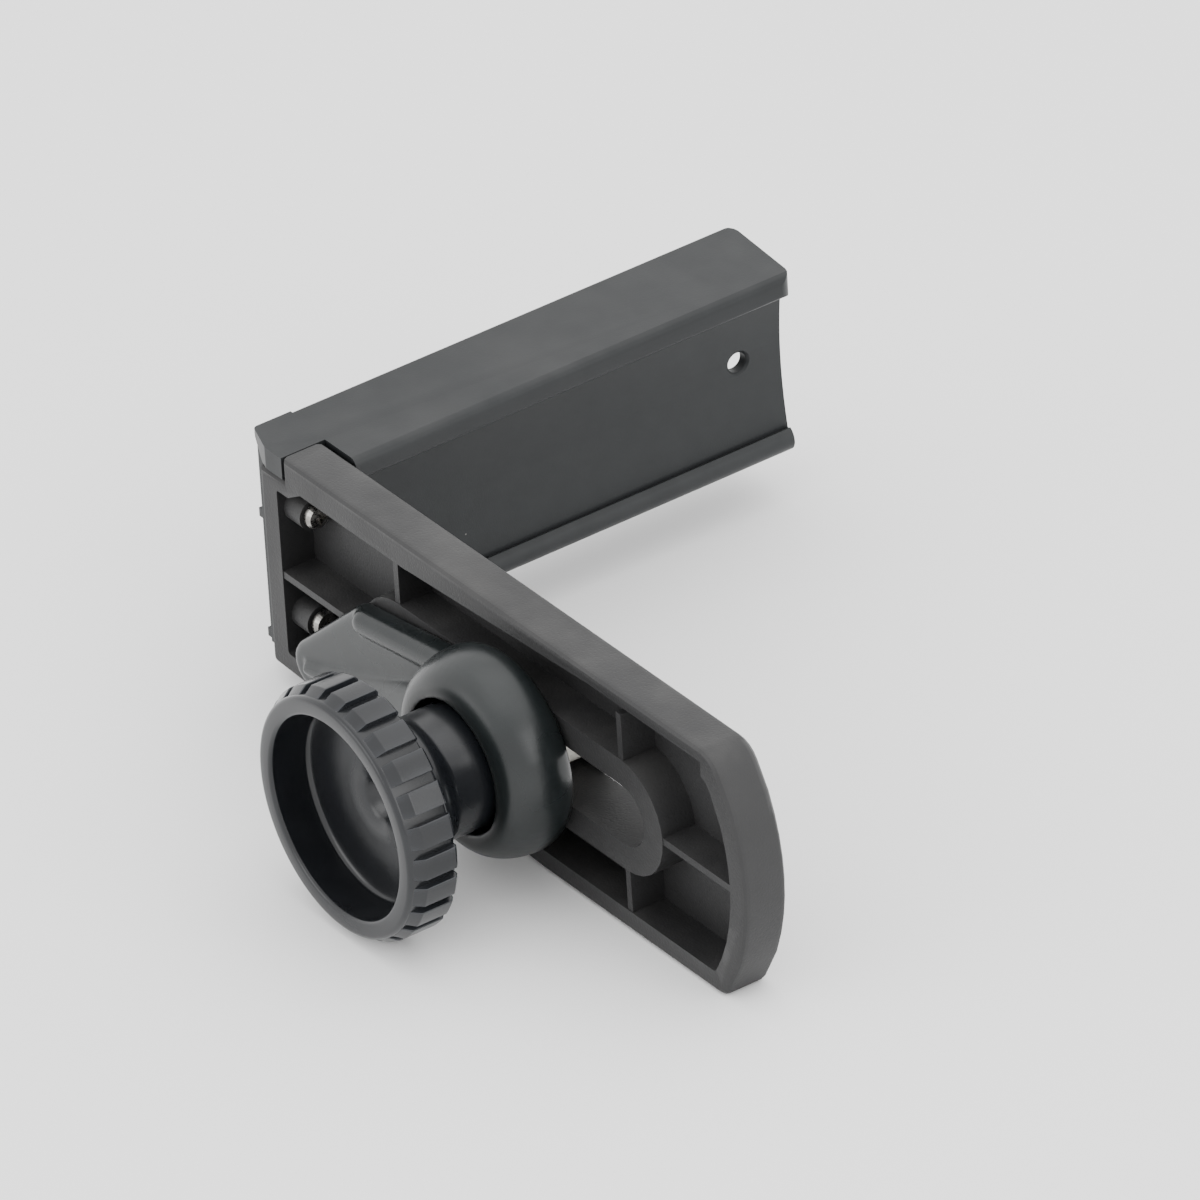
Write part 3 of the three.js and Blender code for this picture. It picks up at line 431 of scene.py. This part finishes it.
def tooth_mesh():
    """One grip tooth at the top of the knob, with a sloped front and broken edges."""
    half = math.radians(180 / TEETH) * TOOTH_SHARE
    inner = KNOB_RADIUS - TOOTH_HEIGHT - TOOTH_SINK
    sections = [(KNOB_FACE + 1.0 * MM, KNOB_RADIUS - TOOTH_HEIGHT), (KNOB_FACE + 3.2 * MM, KNOB_RADIUS),
                (KNOB_BACK - 1.0 * MM, KNOB_RADIUS), (KNOB_BACK - 0.3 * MM, KNOB_RADIUS - 0.8 * MM)]
    bm = bmesh.new()
    rings = []
    for y, outer in sections:
        angles = [-half, -half / 3, half / 3, half]
        ring = [bm.verts.new((outer * math.sin(a), y, outer * math.cos(a))) for a in angles]
        ring += [bm.verts.new((inner * math.sin(a), y, inner * math.cos(a))) for a in (half, -half)]
        rings.append(ring)
    for a, b in zip(rings, rings[1:]):
        for i in range(6):
            j = (i + 1) % 6
            bm.faces.new((a[i], a[j], b[j], b[i]))
    bm.faces.new(rings[0])
    bm.faces.new(rings[-1])
    bmesh.ops.recalc_face_normals(bm, faces=bm.faces)
    sharp = [e for e in bm.edges if len(e.link_faces) == 2 and e.calc_face_angle(0) > SHARP_ANGLE]
    bmesh.ops.bevel(bm, geom=sharp, offset=TOOTH_EDGE, segments=2, affect="EDGES", profile=0.6)
    mesh = bpy.data.meshes.new("grip tooth")
    bm.to_mesh(mesh)
    bm.free()
    return mesh


def repeated_round(name, inputs):
    """A tree that sets copies of one shape evenly round an axis along Y."""
    tree = bpy.data.node_groups.new(name, "GeometryNodeTree")
    tree.interface.new_socket("Geometry", in_out="OUTPUT", socket_type="NodeSocketGeometry")
    tree.interface.new_socket("Geometry", in_out="INPUT", socket_type="NodeSocketGeometry")
    sockets = {label: tree.interface.new_socket(label, in_out="INPUT", socket_type=kind)
               for label, kind in inputs}
    given, out = tree.nodes.new("NodeGroupInput"), tree.nodes.new("NodeGroupOutput")
    points = add_node(tree, "GeometryNodePoints", {"Count": given.outputs["Count"],
                                                    "Position": given.outputs["Axis"]})
    index = add_node(tree, "GeometryNodeInputIndex").outputs[0]
    step = maths(tree, "DIVIDE", 2 * math.pi, given.outputs["Count"])
    turn = add_node(tree, "ShaderNodeCombineXYZ", {1: maths(tree, "MULTIPLY", index, step)}).outputs[0]
    placed_copies = add_node(tree, "GeometryNodeInstanceOnPoints", {
        "Points": points.outputs[0], "Instance": given.outputs["Geometry"], "Rotation": turn})
    solid = add_node(tree, "GeometryNodeRealizeInstances", {"Geometry": placed_copies.outputs[0]})
    finished = add_node(tree, "GeometryNodeSetMaterial", {
        "Geometry": solid.outputs[0], "Material": given.outputs["Finish"]})
    tree.links.new(finished.outputs[0], out.inputs["Geometry"])
    return tree, sockets


tooth_ring, tooth_inputs = repeated_round("grip teeth round the knob", [
    ("Count", "NodeSocketInt"), ("Axis", "NodeSocketVector"), ("Finish", "NodeSocketMaterial")])
teeth = bpy.data.objects.new("knob_grip_teeth", tooth_mesh())
collection.objects.link(teeth)
modifier = teeth.modifiers.new("teeth", "NODES")
modifier.node_group = tooth_ring
modifier[tooth_inputs["Count"].identifier] = TEETH
modifier[tooth_inputs["Axis"].identifier] = KNOB_AXIS
modifier[tooth_inputs["Finish"].identifier] = knob_plastic
plain_mesh(teeth)
teeth.data.shade_smooth()
evened = teeth.modifiers.new("even shading", "WEIGHTED_NORMAL")
evened.keep_sharp = True
plain_mesh(teeth)

knob = bpy.data.objects.new("knob_turned_body", turned_mesh("knob_turned_body", knob_profile(),
                                                           KNOB_SEGMENTS))
collection.objects.link(knob)
knob.data.shade_smooth()
finish_piece(knob, knob_plastic, "knob", "knob_plastic", "hand_knob")
finish_piece(teeth, knob_plastic, "knob", "knob_plastic")


# ---------------------------------------------------------------- studio
def soft_light(name, place, size, power, colour=(1, 1, 1)):
    light = bpy.data.lights.new(name, "AREA")
    light.shape = "RECTANGLE"
    light.size, light.size_y = size
    light.energy = power
    light.color = colour
    lamp = bpy.data.objects.new(name, light)
    lamp.location = place
    lamp.visible_camera = False
    lamp.rotation_euler = (LOOK_AT - Vector(place)).to_track_quat("-Z", "Y").to_euler()
    collection.objects.link(lamp)


soft_light("top light", (0.1, 0.25, 1.6), (1.7, 1.7), 9)
soft_light("window light", (1.5, 0.3, 0.8), (1.0, 1.1), 8)
soft_light("front light", (-0.3, -1.5, 0.75), (1.2, 0.8), 7)
world = bpy.data.worlds.new("studio")
world.use_nodes = True
world.node_tree.nodes["Background"].inputs["Color"].default_value = (1, 1, 1, 1)
world.node_tree.nodes["Background"].inputs["Strength"].default_value = 2.0
bpy.context.scene.world = world

FLOOR_HALF = 4
FLOOR_DROP = 0.0001

floor_mesh = bpy.data.meshes.new("floor")
floor_corners = [(x * FLOOR_HALF, y * FLOOR_HALF, 0) for x, y in ((-1, -1), (1, -1), (1, 1), (-1, 1))]
floor_mesh.from_pydata(floor_corners, [], [(0, 1, 2, 3)])
floor = bpy.data.objects.new("floor", floor_mesh)
floor.location.z = -FLOOR_DROP
collection.objects.link(floor)
paper = bpy.data.materials.new("white paper")
paper.use_nodes = True
paper.node_tree.nodes["Principled BSDF"].inputs["Base Color"].default_value = (0.9, 0.9, 0.9, 1)
paper.node_tree.nodes["Principled BSDF"].inputs["Roughness"].default_value = 0.9
paper.node_tree.nodes["Principled BSDF"].inputs["Specular IOR Level"].default_value = 0.1
floor.data.materials.append(paper)


# ---------------------------------------------------------------- metal and nylon pieces
def carried_over(node, material):
    nodes[node].data.materials.clear()
    nodes[node].data.materials.append(material)


for node, material in (("arm_screw_upper", screw_steel), ("arm_screw_lower", screw_steel),
                       ("clamp_bolt", bolt_steel), ("back_washer", bolt_steel),
                       ("knob_insert", insert_brass), ("slot_block", slide_nylon),
                       ("thrust_washer", slide_nylon)):
    carried_over(node, material)
